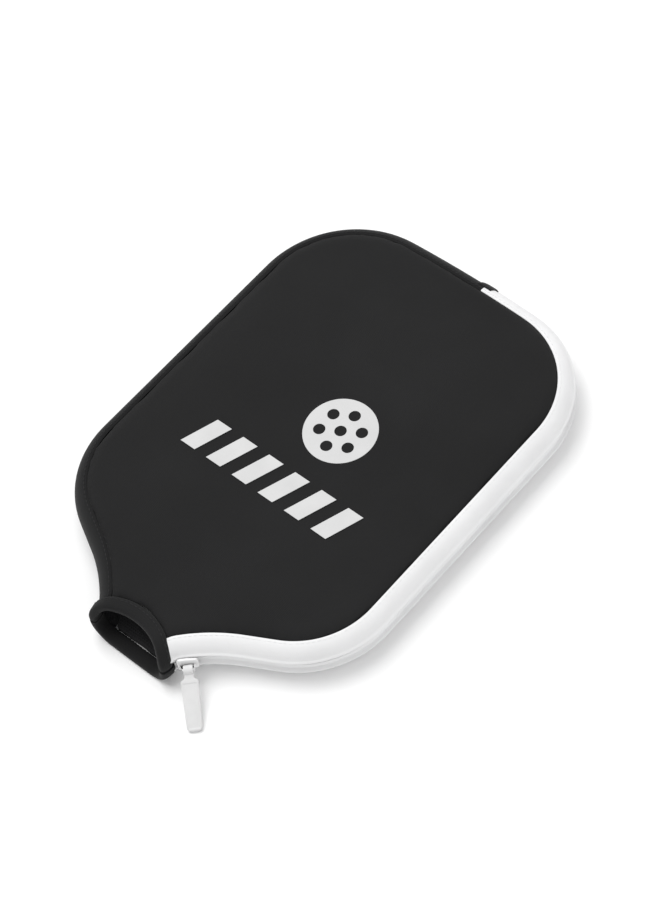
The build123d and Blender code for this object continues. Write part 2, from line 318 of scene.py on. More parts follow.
def math_node(tree, operation, first, second=None, third=None):
    """The result of a sum on values or on other nodes' outputs."""
    made = tree.nodes.new("ShaderNodeMath")
    made.operation = operation
    for socket, value in zip(made.inputs, (first, second, third)):
        if value is None:
            continue
        if isinstance(value, (int, float)):
            socket.default_value = value
        else:
            tree.links.new(value, socket)
    return made.outputs[0]


def effect_group(name, inputs, outputs):
    """An empty shader group with named value inputs and outputs."""
    group = bpy.data.node_groups.new(name, "ShaderNodeTree")
    for socket, kind in inputs:
        group.interface.new_socket(socket, in_out="INPUT", socket_type="NodeSocket" + kind)
    for socket, kind in outputs:
        group.interface.new_socket(socket, in_out="OUTPUT", socket_type="NodeSocket" + kind)
    return group, group.nodes.new("NodeGroupInput"), group.nodes.new("NodeGroupOutput")


# Jersey loops: columns of small Vs, as high as their yarn, with painted shade that darkens the gaps
# between them.
jersey_loops, start, end = effect_group(
    "jersey_loops",
    [("Cloth", "Vector"), ("Loops", "Float")],
    [("Height", "Float"), ("Painted gap shade", "Float")],
)
scaled = node(jersey_loops, "ShaderNodeVectorMath", operation="SCALE")
jersey_loops.links.new(start.outputs["Cloth"], scaled.inputs[0])
jersey_loops.links.new(start.outputs["Loops"], scaled.inputs["Scale"])
parts = node(jersey_loops, "ShaderNodeSeparateXYZ")
jersey_loops.links.new(scaled.outputs[0], parts.inputs[0])
column = math_node(jersey_loops, "SUBTRACT", math_node(jersey_loops, "FRACT", parts.outputs[0]), 0.5)
slant = math_node(jersey_loops, "MULTIPLY", math_node(jersey_loops, "ABSOLUTE", column), 1.1)
course = math_node(jersey_loops, "ADD", parts.outputs[1], slant)
wave = math_node(jersey_loops, "SINE", math_node(jersey_loops, "MULTIPLY", course, 2 * math.pi))
ridge = math_node(jersey_loops, "MULTIPLY_ADD", wave, 0.5, 0.5)
edge_dip = math_node(jersey_loops, "MULTIPLY", math_node(jersey_loops, "ABSOLUTE", column), 2.0)
yarn = math_node(jersey_loops, "SUBTRACT", 1.0, math_node(jersey_loops, "POWER", edge_dip, 3.0))
loop_height = math_node(jersey_loops, "MULTIPLY", ridge, yarn)
jersey_loops.links.new(loop_height, end.inputs["Height"])
jersey_loops.links.new(math_node(jersey_loops, "SUBTRACT", 1.0, loop_height), end.inputs["Painted gap shade"])

# Handling: broad uneven shade and fine fibre noise over any cloth or moulded surface.
handled, start, end = effect_group(
    "handled",
    [("Place", "Vector"), ("Patch", "Float"), ("Grain", "Float")],
    [("Shade", "Float"), ("Grain", "Float")],
)
patches = node(handled, "ShaderNodeTexNoise", Detail=3.0)
handled.links.new(start.outputs["Place"], patches.inputs["Vector"])
handled.links.new(start.outputs["Patch"], patches.inputs["Scale"])
grains = node(handled, "ShaderNodeTexNoise", Detail=4.0, Roughness=0.7)
handled.links.new(start.outputs["Place"], grains.inputs["Vector"])
handled.links.new(start.outputs["Grain"], grains.inputs["Scale"])
handled.links.new(patches.outputs["Fac"], end.inputs["Shade"])
handled.links.new(grains.outputs["Fac"], end.inputs["Grain"])


def surface(name, dark, light, roughness, pattern, repeat, relief, patch=14.0, grain=900.0,
            painted_gap_shade=0.35, sheen=0.0, coat=0.0, spread=0.08):
    """A finish that mixes two colours by handling and by painted shade in the gaps of its pattern, with
    relief.
    """
    material = bpy.data.materials.new(name)
    material.use_nodes = True
    tree = material.node_tree
    shader = tree.nodes["Principled BSDF"]
    shader.inputs["Sheen Weight"].default_value = sheen
    shader.inputs["Sheen Roughness"].default_value = 0.5
    shader.inputs["Coat Weight"].default_value = coat
    shader.inputs["Coat Roughness"].default_value = 0.25
    shader.inputs["Specular IOR Level"].default_value = 0.3 if sheen else 0.5
    coordinates = node(tree, "ShaderNodeTexCoord")
    handling = node(tree, "ShaderNodeGroup", node_tree=handled)
    handling.inputs["Patch"].default_value = patch
    handling.inputs["Grain"].default_value = grain
    tree.links.new(coordinates.outputs["Object"], handling.inputs["Place"])
    mixing = handling.outputs["Shade"]
    height = handling.outputs["Grain"]
    if pattern:
        cloth = node(tree, "ShaderNodeUVMap", uv_map="weave")
        loops = node(tree, "ShaderNodeGroup", node_tree=pattern)
        loops.inputs[1].default_value = repeat
        tree.links.new(cloth.outputs["UV"], loops.inputs[0])
        # Painted shade: the colour is darker where the pattern's height is low, in its gaps.
        gap = math_node(tree, "MULTIPLY", loops.outputs["Painted gap shade"], -painted_gap_shade)
        mixing = math_node(tree, "ADD", mixing, gap)
        height = math_node(tree, "MULTIPLY_ADD", loops.outputs["Height"], 1.0,
                           math_node(tree, "MULTIPLY", height, 0.5))
    ramp = node(tree, "ShaderNodeMapRange", From_Min=0.15, From_Max=0.75)
    tree.links.new(mixing, ramp.inputs["Value"])
    colour = node(tree, "ShaderNodeMix", data_type="RGBA")
    for socket, value in ((6, dark), (7, light)):
        colour.inputs[socket].default_value = (*value, 1.0)
    tree.links.new(ramp.outputs["Result"], colour.inputs["Factor"])
    tree.links.new(colour.outputs[2], shader.inputs["Base Color"])
    rough = math_node(tree, "MULTIPLY_ADD", handling.outputs["Grain"], spread, roughness - spread / 2)
    tree.links.new(rough, shader.inputs["Roughness"])
    bump = node(tree, "ShaderNodeBump", Strength=0.6, Distance=relief * mm)
    tree.links.new(height, bump.inputs["Height"])
    tree.links.new(bump.outputs["Normal"], shader.inputs["Normal"])
    return material


# Both knits carry painted shade in the gaps of their loops.
black_jersey = surface("black_jersey", (0.0062, 0.0062, 0.0065), (0.0115, 0.0115, 0.012), 0.88,
                       jersey_loops, 1300.0, 0.10, sheen=0.05)
loop_lining = surface("loop_lining", (0.012, 0.012, 0.013), (0.035, 0.035, 0.037), 0.95,
                      jersey_loops, 620.0, 0.35, patch=60.0, grain=500.0, sheen=0.15)


def bend_at_fold(piece):
    """Bakes a piece's placement into its mesh; the piece is not made to bend."""
    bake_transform(piece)


def dress(piece, slot, *materials):
    """Puts the materials on a piece. Its slot is not used."""
    for material in materials:
        piece.data.materials.append(material)


front_panel, front_depths = cut_panel("front_panel", scoop)
crown_height = 2.2
crown_pressure = 1.2
puff(front_panel, front_depths, crown_height, crown_pressure)
front_mesh = bmesh.new()
front_mesh.from_mesh(front_panel.data)
front_surface = BVHTree.FromBMesh(front_mesh)
front_mesh.free()
dress(front_panel, "face_knit", black_jersey, loop_lining)
bend_at_fold(front_panel)
soften(front_panel, laminate)
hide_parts("front_face_hinge_side", "front_face_zip_side", "front_foam_hinge_side",
            "front_foam_zip_side", "front_lining_hinge_side", "front_lining_zip_side")

# ---- Back panel -------------------------------------------------------------------------------
# The same laminate as the front panel, with a straight neck edge. The cover lies on it, so it is
# flat where it rests, and only its edge rolls up into the seam.
back_panel = cut_panel("back_panel", straight_neck)[0]
back_mesh = bmesh.new()
back_mesh.from_mesh(back_panel.data)
for vertex in back_mesh.verts:
    vertex.co.z = case_depth * mm - vertex.co.z
bmesh.ops.reverse_faces(back_mesh, faces=back_mesh.faces)
back_mesh.to_mesh(back_panel.data)
back_mesh.free()
dress(back_panel, "face_knit", black_jersey, loop_lining)
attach(back_panel, "case_back")
soften(back_panel, laminate)
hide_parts("back_face", "back_foam", "back_lining")

# ---- Side wall --------------------------------------------------------------------------------
# A strip of the same laminate down the hinge side, from the end of the zip over the head corner
# to the neck. It is sewn to both panels and rounds out between the two seams.
first_roll = math.asin(roll_inset / wall_roll)
roll_run = wall_roll * (math.pi / 2 - first_roll)
wall_run = 2 * (roll_run + roll_level - mid_depth)


def wall_profile(drop, lift=0.0):
    """How far out and how high the side wall is, that far down round it from the front seam."""
    if drop > wall_run / 2:
        out, level = wall_profile(wall_run - drop, lift)
        return out, case_depth - level
    angle = min(first_roll + drop / wall_roll, math.pi / 2)
    straight = max(drop - roll_run, 0.0)
    out = -roll_inset + (wall_roll + lift) * math.sin(angle)
    return out, roll_level + (wall_roll + lift) * math.cos(angle) - straight


def on_wall(distance, drop, lift=0.0):
    """A point on the wall, by its distance round the seam and its drop from the front seam."""
    point, side = around_head(distance)
    out, level = wall_profile(drop, lift)
    return point + side * out + up * level


def formed(name, columns, rows, size, place, joined=False, capped=False):
    """A sheet laid out by place(u, v), with a UV map that measures its cloth in metres."""
    bm = bmesh.new()
    weave = bm.loops.layers.uv.new("weave")
    bmesh.ops.create_grid(bm, x_segments=columns, y_segments=rows, size=0.5, calc_uvs=True)
    for face in bm.faces:
        for loop in face.loops:
            loop[weave].uv = (loop[weave].uv.x * size[0] * mm, loop[weave].uv.y * size[1] * mm)
    for vertex in bm.verts:
        vertex.co = place(vertex.co.x + 0.5, vertex.co.y + 0.5) * mm
    if joined:
        bmesh.ops.remove_doubles(bm, verts=bm.verts, dist=1e-6)
    if capped:
        bmesh.ops.holes_fill(bm, edges=bm.edges, sides=0)
    if joined or capped:
        bmesh.ops.recalc_face_normals(bm, faces=bm.faces)
    return finished(bm, name)


zip_end_x = 12.0
zip_end = half_seam - zip_end_x
mouth_start = 9.5
wall_under_tab = 4.0
wall_end = 2 * half_seam - mouth_start


def pulled(drop):
    """How far both edges of a wall piece are pulled in by their seams."""
    return -crease(drop) - crease(wall_run - drop)


def place_wall(u, v):
    share = 0.5 - 0.5 * math.cos(math.pi * v)
    drop = wall_run * (1 - share)
    distance = zip_end - wall_under_tab + (wall_end - zip_end + wall_under_tab) * u
    return on_wall(distance, drop, pulled(drop))


side_wall = formed("side_wall", 150, 22, (wall_end - zip_end, wall_run), place_wall)
dress(side_wall, "gusset_knit", black_jersey, loop_lining)
bend_at_fold(side_wall)
soften(side_wall, laminate)
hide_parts("gusset_face", "gusset_foam", "gusset_lining")

# ---- Zip tapes --------------------------------------------------------------------------------
# Two white woven polyester tapes of a reversed coil zip. Each is sewn to its panel along one
# edge, and turns over its coil in a firm ridge beside the parting.
# Twill ribs: diagonal ribs of the weave, as high as their yarn, with painted shade that darkens the
# gaps between them.
twill_ribs, start, end = effect_group(
    "twill_ribs",
    [("Cloth", "Vector"), ("Ribs", "Float")],
    [("Height", "Float"), ("Painted gap shade", "Float")],
)
scaled = node(twill_ribs, "ShaderNodeVectorMath", operation="SCALE")
twill_ribs.links.new(start.outputs["Cloth"], scaled.inputs[0])
twill_ribs.links.new(start.outputs["Ribs"], scaled.inputs["Scale"])
parts = node(twill_ribs, "ShaderNodeSeparateXYZ")
twill_ribs.links.new(scaled.outputs[0], parts.inputs[0])
zigzag = math_node(twill_ribs, "PINGPONG", parts.outputs[1], 4.0)
diagonal = math_node(twill_ribs, "ADD", parts.outputs[0], zigzag)
wave = math_node(twill_ribs, "SINE", math_node(twill_ribs, "MULTIPLY", diagonal, 2 * math.pi))
rib = math_node(twill_ribs, "MULTIPLY_ADD", wave, 0.5, 0.5)
twill_ribs.links.new(rib, end.inputs["Height"])
twill_ribs.links.new(math_node(twill_ribs, "SUBTRACT", 1.0, rib), end.inputs["Painted gap shade"])

# The tape's twill carries painted shade in the gaps of its ribs.
white_tape = surface("white_tape", (0.78, 0.78, 0.785), (0.89, 0.89, 0.895), 0.72,
                     twill_ribs, 1100.0, 0.12, patch=20.0, painted_gap_shade=0.2, sheen=0.1)
zip_length = zip_end - mouth_start
tape_thickness = 0.7
parting = 0.12
ridge_back = 4.6
ridge_drop = wall_run / 2 - ridge_back
ridge_width = 1.0
ridge_height = 0.95
channel_start = 0.5
channel_run = 1.4
channel_depth = 1.6
parting_turn = 0.35
turn_run = 0.6
tape_crease = 0.75


def tape_lift(drop):
    """The tape's relief: pulled in at its seam, up over the coil's edge, down to the parting."""
    ridge = ridge_height * math.exp(-((drop - ridge_drop) / ridge_width) ** 2)
    inner = min(max((drop - ridge_drop - channel_start) / channel_run, 0.0), 1.0)
    channel = channel_depth * inner ** 2 * (3 - 2 * inner)
    turned = parting_turn * max(drop - wall_run / 2 + turn_run, 0.0) / turn_run
    return ridge - channel - turned - tape_crease * crease(drop)


def place_front_tape(u, v):
    drop = (wall_run / 2 - parting) * (1 - v)
    return on_wall(mouth_start + zip_length * u, drop, tape_lift(drop))


def place_back_tape(u, v):
    drop = (wall_run / 2 - parting) * v
    return on_wall(mouth_start + zip_length * u, wall_run - drop, tape_lift(drop))


front_tape = formed("front_tape", 260, 44, (zip_length, wall_run / 2), place_front_tape)
back_tape = formed("back_tape", 260, 44, (zip_length, wall_run / 2), place_back_tape)
for tape, cad_node in ((front_tape, "front_zip_tape"), (back_tape, "back_zip_tape")):
    dress(tape, "zip_tape", white_tape)
    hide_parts(cad_node)
bend_at_fold(front_tape)
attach(back_tape, "case_back")
for tape in (front_tape, back_tape):
    soften(tape, tape_thickness)
    tape.modifiers["laminate"].material_offset = 0
    tape.modifiers["laminate"].material_offset_rim = 0

# ---- Zip coils --------------------------------------------------------------------------------
# One nylon monofilament wound into an oval spiral along each tape, sewn on behind it. On the real
# zip the two spirals lock at the parting. Here they stand a little apart, hidden by the tapes.
nylon = surface("nylon", (0.72, 0.72, 0.72), (0.86, 0.86, 0.85), 0.35, None, 0.0, 0.02,
                patch=40.0, grain=1500.0, coat=0.2)
coil_pitch = 1.5
coil_wire = 0.32
coil_out = 0.6
coil_up = 1.15
coil_gap = 1.15
coil_sunk = 2.6
coil_lead = 4.0
coil_spare_turns = 4
coil_turns = int(zip_length / coil_pitch) - coil_spare_turns
coil_steps = 9


def coil_placer(side):
    def place(u, v):
        turn = 2 * math.pi * coil_turns * u
        lean = 2 * math.pi * v
        reach = coil_wire * math.cos(lean)
        point, way = around_head(mouth_start + coil_lead + coil_pitch * coil_turns * u
                                 + coil_wire * math.sin(lean))
        out = wall_bulge - coil_sunk - coil_out + (coil_out + reach) * math.cos(turn)
        level = mid_depth + side * (coil_gap + coil_up) + (coil_up + reach) * math.sin(turn)
        return point + way * out + up * level
    return place


wire_size = (600.0, 2.0)
front_coil = formed("front_coil", coil_turns * coil_steps, 5, wire_size, coil_placer(1), joined=True)
back_coil = formed("back_coil", coil_turns * coil_steps, 5, wire_size, coil_placer(-1), joined=True)
for coil, cad_node in ((front_coil, "front_zip_coil"), (back_coil, "back_zip_coil")):
    dress(coil, "zip_coil", nylon)
    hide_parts(cad_node)
bend_at_fold(front_coil)
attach(back_coil, "case_back")
for stop in ("front_top_stop", "back_top_stop", "bottom_stop"):
    stop_mesh = frame["nodes"][stop].data
    stop_mesh.materials.clear()
    stop_mesh.materials.append(nylon)

# ---- Sewing -----------------------------------------------------------------------------------
# Lockstitch rows beside every seam: white thread along the zip tapes, black thread down the
# hinge side and round the neck collar. Each stitch lies in the cloth and bulges a little.
stitch_pitch = 3.0
stitch_length = 2.3
stitch_width = 0.5
row_drop = 1.7
on_tape = 0.12
on_knit = 0.1


def thread_row(name, count, spot, length, width, joined_body, slot, material):
    """A row of single stitches along spot(share). It rides on joined_body, or else its placement is
    baked into its mesh.
    """
    bm = bmesh.new()
    for number in range(count):
        before, after = spot((number + 0.4) / count), spot((number + 0.6) / count)
        way = (after[0] - before[0]).normalized()
        normal = (before[1] + after[1]).normalized()
        side = normal.cross(way)
        shape = Matrix((way * length / 2, side * width / 2, normal * width / 2)).transposed()
        place = Matrix.Translation((before[0] + after[0]) / 2) @ shape.to_4x4()
        bmesh.ops.create_icosphere(bm, subdivisions=2, radius=1.0, matrix=place)
    bmesh.ops.scale(bm, vec=(mm, mm, mm), verts=bm.verts)
    row = finished(bm, name)
    dress(row, slot, material)
    if joined_body:
        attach(row, joined_body)
    else:
        bend_at_fold(row)
    return row


def wall_spot(first, length, drop, relief):
    """Where a row of sewing runs on the wall, and which way its surface faces."""
    def spot(share):
        distance = first + length * share
        base = on_wall(distance, drop, relief)
        return base, (on_wall(distance, drop, relief + 1.0) - base).normalized()
    return spot


white_thread = surface("white_thread", (0.7, 0.7, 0.71), (0.92, 0.92, 0.92), 0.55, None, 0.0, 0.05,
                       patch=300.0, grain=2500.0)
black_thread = surface("black_thread", (0.006, 0.006, 0.0065), (0.016, 0.016, 0.017), 0.8, None, 0.0,
                       0.05, patch=300.0, grain=2500.0)
tape_stitches = int(zip_length / stitch_pitch)
thread_row("front_tape_stitches", tape_stitches,
           wall_spot(mouth_start, zip_length, row_drop, tape_lift(row_drop) + on_tape),
           stitch_length, stitch_width, None, "zip_tape", white_thread)
thread_row("back_tape_stitches", tape_stitches,
           wall_spot(mouth_start, zip_length, wall_run - row_drop, tape_lift(row_drop) + on_tape),
           stitch_length, stitch_width, "case_back", "zip_tape", white_thread)
wall_length = wall_end - zip_end
wall_stitches = int(wall_length / stitch_pitch)
thread_row("front_wall_stitches", wall_stitches,
           wall_spot(zip_end, wall_length, row_drop, pulled(row_drop) + on_knit),
           stitch_length, stitch_width, None, "gusset_knit", black_thread)
thread_row("back_wall_stitches", wall_stitches,
           wall_spot(zip_end, wall_length, wall_run - row_drop, pulled(row_drop) + on_knit),
           stitch_length, stitch_width, "case_back", "gusset_knit", black_thread)

# ---- Neck collar ------------------------------------------------------------------------------
# A folded band of the laminate sewn round the mouth, thicker than the panels, with its fold
# outwards. The front half is scooped for the thumb, and the back half runs straight across.
collar_depth = 9.0
collar_half = 4.7
collar_thick = 2.7
collar_sunk = 1.6
collar_floor_gap = 0.02
flat_share = 0.42
roll_share = 0.5
side_share = 0.92
down_share = 0.08


def seam_gap(x, y):
    """How far a point by the neck is outside the panel seam, and the way out of the case there."""
    point = Vector((abs(x), y, 0.0))
    bend_start = neck_centre - outward(tail_heading) * neck_radius
    if (point - bend_start).dot(forward(tail_heading)) <= 0.0:
        side = outward(tail_heading)
        gap = (point - bend_start).dot(side)
    else:
        turn = neck_centre - point
        side = turn.normalized()
        gap = neck_radius - turn.length
        if side.angle(outward(tail_heading)) > tail_heading - neck_heading:
            side = (flare_centre - point).normalized()
            gap = flare_radius - (flare_centre - point).length
    return gap, Vector((math.copysign(side.x, x), side.y, 0.0))


def out_to(gap, line, along):
    """The x at which a line across the neck is that far outside the panel seam."""
    low, high = 0.0, 40.0
    for _ in range(24):
        middle = (low + high) / 2
        if seam_gap(middle, line(middle) - along)[0] < gap:
            low = middle
        else:
            high = middle
    return low


def round_neck(share, along, lift, line, last_level):
    """A point on the neck's outside: share runs from the hinge side over the front to the zip."""
    side = 1.0 if share > 0 else -1.0
    share = abs(share)
    if share < flat_share:
        x = out_to(-roll_inset, line, along) * share / flat_share
        base = Vector((side * x, line(x) - along, case_depth))
        return base + up * lift
    angle = min((share - flat_share) / roll_share, 1.0) * math.pi / 2
    x = out_to(-roll_inset + wall_roll * math.sin(angle), line, along)
    way = seam_gap(side * x, line(x) - along)[1]
    level = roll_level + wall_roll * math.cos(angle)
    if share > side_share:
        level -= (share - side_share) / down_share * (roll_level - last_level)
    base = Vector((side * x, line(x) - along, level))
    return base + way * math.sin(angle) * lift + up * math.cos(angle) * lift


def collar_placer(line, last_levels, flipped):
    def place(u, v):
        turn = 2 * math.pi * v
        wide = math.copysign(abs(math.cos(turn)) ** 0.6, math.cos(turn))
        thick = math.copysign(abs(math.sin(turn)) ** 0.8, math.sin(turn))
        along = collar_depth / 2 + collar_half * wide
        lift = -collar_sunk + collar_thick * thick
        share = 2 * u - 1
        point = round_neck(share, along, lift, line, last_levels[0 if share < 0 else 1])
        if flipped:
            point.z = max(case_depth - point.z, collar_floor_gap)
        return point
    return place


collar_cloth = (78.0, 26.0)
front_collar = formed("front_neck_collar", 64, 24, collar_cloth,
                      collar_placer(scoop, (15.1, 16.0), False), joined=True, capped=True)
back_collar = formed("back_neck_collar", 64, 24, collar_cloth,
                     collar_placer(straight_neck, (15.1, 15.4), True), joined=True, capped=True)
for collar, cad_node in ((front_collar, "front_collar"), (back_collar, "back_collar")):
    dress(collar, "collar_fabric", black_jersey)
    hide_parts(cad_node)
bend_at_fold(front_collar)
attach(back_collar, "case_back")
for collar in (front_collar, back_collar):
    soften(collar)


def neck_spot(line, along, lift, flipped):
    def spot(share):
        share = 1.7 * share - 0.85
        base = round_neck(share, along, lift, line, mid_depth)
        top = round_neck(share, along, lift + 1.0, line, mid_depth)
        if flipped:
            base.z, top.z = case_depth - base.z, case_depth - top.z
        return base, (top - base).normalized()
    return spot


collar_stitches = 24
collar_row = 2.3
collar_stitch = 2.2
thread_row("front_collar_stitches", collar_stitches, neck_spot(scoop, collar_row, 1.0, False),
           collar_stitch, stitch_width, None, "collar_fabric", black_thread)
thread_row("back_collar_stitches", collar_stitches, neck_spot(straight_neck, collar_row, -0.3, True),
           collar_stitch, stitch_width, "case_back", "collar_fabric", black_thread)

# ---- Inner bindings ---------------------------------------------------------------------------
# Knitted tape folded over the raw seam allowances inside, one strip round each panel seam. It
# stops short of the neck on both sides.
# Its ribs carry painted shade in their gaps, at the default strength.
binding_tape = surface("binding_tape", (0.014, 0.014, 0.015), (0.04, 0.04, 0.042), 0.8,
                       twill_ribs, 900.0, 0.15, patch=40.0)
binding_gap = 40.0
binding_in = 5.6
binding_half = 4.2
binding_under = 1.3
binding_thick = 0.5
binding_fall = 0.16
fall_start = 4.0


def binding_placer(flipped):
    def place(u, v):
        distance = binding_gap + (2 * half_seam - 2 * binding_gap) * u
        point, side = around_head(distance)
        turn = 2 * math.pi * v
        out = -binding_in + binding_half * math.copysign(abs(math.cos(turn)) ** 0.7, math.cos(turn))
        level = case_depth - laminate - binding_under + binding_thick * math.sin(turn)
        level = level - binding_fall * max(out + fall_start, 0.0) ** 1.5
        point = point + side * out + up * level
        if flipped:
            point.z = case_depth - point.z
        return point
    return place


binding_cloth = (1000.0, 18.0)
front_binding = formed("front_seam_binding", 200, 12, binding_cloth, binding_placer(False),
                       joined=True, capped=True)
back_binding = formed("back_seam_binding", 200, 12, binding_cloth, binding_placer(True),
                      joined=True, capped=True)
for binding in (front_binding, back_binding):
    dress(binding, "binding_tape", binding_tape)
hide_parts("front_binding_hinge_side", "front_binding_zip_side")
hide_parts("back_binding")
bend_at_fold(front_binding)
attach(back_binding, "case_back")

# ---- Zip end tab ------------------------------------------------------------------------------
# A short folded scrap of the jersey over the head end of the zip, sewn down along both its sides
# so that the coils can't part there.
tab_half = 5.0
tab_drop = 15.0
tab_thick = 1.5
tab_sunk = 0.4
tab_ridge = 0.8
tab_ridge_spread = 1.5


def place_tab(u, v):
    turn = 2 * math.pi * v
    across = math.copysign(abs(math.cos(turn)) ** 0.5, math.cos(turn))
    down = math.sin(math.pi * (u - 0.5))
    swell = math.copysign(abs(math.sin(turn)) ** 0.6, math.sin(turn))
    drop = wall_run / 2 + tab_drop * down
    below = abs(wall_run / 2 - drop) - (wall_run / 2 - ridge_drop)
    lift = tab_thick * swell * math.cos(math.pi * (u - 0.5)) ** 0.35 - tab_sunk
    lift += tab_ridge * ridge_height * math.exp(-(below / ridge_width / tab_ridge_spread) ** 2)
    return on_wall(zip_end + tab_half * across, drop, lift)


end_tab = formed("zip_tab", 36, 28, (25.0, 20.0), place_tab, joined=True)
dress(end_tab, "gusset_knit", black_jersey)
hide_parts("zip_end_tab")
bend_at_fold(end_tab)
soften(end_tab)

# ---- Printed mark -----------------------------------------------------------------------------
# A plain ball with seven holes over a row of slanted bars, cut from white heat-transfer film and
# pressed onto the front panel. The film follows the jersey.
# The jersey's loops show through the film as relief and as faint painted shade in their gaps.
print_film = surface("print_film", (0.55, 0.55, 0.55), (0.61, 0.61, 0.61), 0.5, jersey_loops, 1300.0,
                     0.02, patch=60.0, painted_gap_shade=0.12)
film_lift = 0.3
film_thick = 0.28
film_mesh = 3
ball_place = Vector((12.0, 16.0, 0.0))
ball_radius = 22.0
hole_radius = 3.6
hole_ring = 12.5
bar_width = 11.0
bar_height = 23.0
bar_pitch = 20.0
bars_x = 1.0
bars_y = -32.0
bar_slant = math.tan(math.radians(20.0))
bm = bmesh.new()
weave = bm.loops.layers.uv.new("weave")
ball_edges = []
middle = Vector((0.0, 0.0, 0.0))
holes = [middle] + [forward(math.radians(60.0 * n + 30.0)) * hole_ring for n in range(6)]
rings = [(middle, ball_radius, 96)] + [(hole, hole_radius, 32) for hole in holes]
for place, radius, segments in rings:
    made = bmesh.ops.create_circle(bm, segments=segments, radius=radius,
                                   matrix=Matrix.Translation(ball_place + place))
    ball_edges += list({edge for vertex in made["verts"] for edge in vertex.link_edges})
bmesh.ops.triangle_fill(bm, use_beauty=True, use_dissolve=False, edges=ball_edges)
for number in range(6):
    made = bmesh.ops.create_grid(bm, x_segments=1, y_segments=1, size=0.5)
    corners = made["verts"]
    bmesh.ops.scale(bm, vec=(bar_width, bar_height, 1.0), verts=corners)
    for vertex in corners:
        vertex.co.x += vertex.co.y * bar_slant
    bmesh.ops.translate(bm, vec=(bars_x + bar_pitch * (number - 2.5), bars_y, 0.0), verts=corners)
for normal, low, high in ((Vector((1, 0, 0)), -60, 64), (Vector((0, 1, 0)), -44, 40)):
    for place in range(low, high + 1, film_mesh):
        bmesh.ops.bisect_plane(bm, geom=bm.verts[:] + bm.edges[:] + bm.faces[:],
                               plane_co=normal * place, plane_no=normal)
bmesh.ops.recalc_face_normals(bm, faces=bm.faces)
if sum(face.normal.z for face in bm.faces) < 0:
    bmesh.ops.reverse_faces(bm, faces=bm.faces)
for face in bm.faces:
    for loop in face.loops:
        loop[weave].uv = (loop.vert.co.x * mm, loop.vert.co.y * mm)
for vertex in bm.verts:
    vertex.co = vertex.co * mm
    hit = front_surface.ray_cast(vertex.co + up * 0.2, -up)[0]
    vertex.co.z = hit.z + film_lift * mm
for edge in bm.edges:
    edge.smooth = not edge.is_boundary
mark = finished(bm, "printed_mark")
dress(mark, "print_film", print_film)
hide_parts("print_hinge_side", "print_zip_side")
bend_at_fold(mark)
film = mark.modifiers.new("film", "SOLIDIFY")
film.thickness = film_thick * mm
film.offset = -1.0

# ---- Slider -----------------------------------------------------------------------------------
# A die-cast zinc slider in white enamel: two plates joined by a post at the nose, and a bridge
# on the outer plate that holds the pull.
enamel = surface("enamel", (0.74, 0.74, 0.74), (0.86, 0.86, 0.86), 0.3, None, 0.0, 0.03,
                 patch=120.0, grain=1800.0, coat=0.5)


def softened_copy(node_name, name, width):
    """A CAD part's own shape with its edges rounded over."""
    bm = bmesh.new()
    bm.from_mesh(frame["nodes"][node_name].data)
    bmesh.ops.remove_doubles(bm, verts=bm.verts, dist=1e-6)
    bmesh.ops.dissolve_limit(bm, angle_limit=math.radians(2.0), verts=bm.verts, edges=bm.edges)
    sharp = [edge for edge in bm.edges if edge.calc_face_angle(0.0) > math.radians(35.0)]
    bmesh.ops.bevel(bm, geom=sharp, offset=width * mm, offset_type="OFFSET", segments=3, profile=0.5,
                    affect="EDGES", clamp_overlap=True, material=-1)
    return finished(bm, name)


slider = softened_copy("slider_body", "zip_slider", 0.35)
bridge = softened_copy("slider_bridge", "slider_pull_bridge", 0.3)
for piece, cad_node in ((slider, "slider_body"), (bridge, "slider_bridge")):
    dress(piece, "slider_enamel", enamel)
    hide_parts(cad_node)
    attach(piece, "slider")

# ---- Pull -------------------------------------------------------------------------------------
# A flat strap of soft white rubber with an eye moulded round the bridge's bar. Both its faces
# are sunk a little inside a rim, and the tip is rounded.
soft_rubber = surface("soft_rubber", (0.62, 0.62, 0.62), (0.72, 0.72, 0.72), 0.6, None, 0.0, 0.04,
                      patch=80.0, grain=1400.0)
bar = joint_place("pull_swing")
bar_way = -Vector(joints["pull_swing"]["axis"])
bar_out = Vector((bar_way.y, -bar_way.x, 0.0))
strap_length = 34.0
strap_half = 5.0
strap_tip_half = 4.3
strap_neck_half = 2.7
strap_thick = 1.8
strap_tip_round = 2.5
floor_gap = 0.4
droop = math.asin((bar.z - floor_gap - strap_thick / 2) / strap_length)
strap_way = bar_out * math.cos(droop) - up * math.sin(droop)
strap_top = bar_out * math.sin(droop) + up * math.cos(droop)
strap_root = 2.2
shoulder_start = 4.2
shoulder_end = 6.4
rim_width = 1.3
face_sink = 0.3


def smooth_step(low, high, value):
    """A share that rises smoothly from 0 at low to 1 at high."""
    share = min(max((value - low) / (high - low), 0.0), 1.0)
    return share ** 2 * (3 - 2 * share)


def place_strap(u, v):
    along = strap_root + (strap_length - strap_root) * u
    rest = strap_length - along
    taper = (along - shoulder_end) / (strap_length - shoulder_end)
    half = strap_half + (strap_tip_half - strap_half) * max(taper, 0.0)
    widened = smooth_step(shoulder_start, shoulder_end, along)
    half = strap_neck_half + (half - strap_neck_half) * widened
    corner = max(strap_tip_round - rest, 0.0)
    half += math.sqrt(strap_tip_round ** 2 - corner ** 2) - strap_tip_round
    edge = max(1.0 - 2 * rest / strap_thick, 0.0)
    thick = strap_thick / 2 * max(math.sqrt(1.0 - edge ** 2), 0.05)
    turn = 2 * math.pi * v
    across = half * math.copysign(abs(math.cos(turn)) ** 0.5, math.cos(turn))
    lift = thick * math.copysign(abs(math.sin(turn)) ** 0.5, math.sin(turn))
    inside = smooth_step(rim_width - 0.5, rim_width, half - abs(across))
    inside *= smooth_step(shoulder_end + 0.8, shoulder_end + 1.4, along) * smooth_step(1.3, 1.9, rest)
    lift -= math.copysign(face_sink * inside, lift)
    return bar + strap_way * along + bar_way * across + strap_top * lift


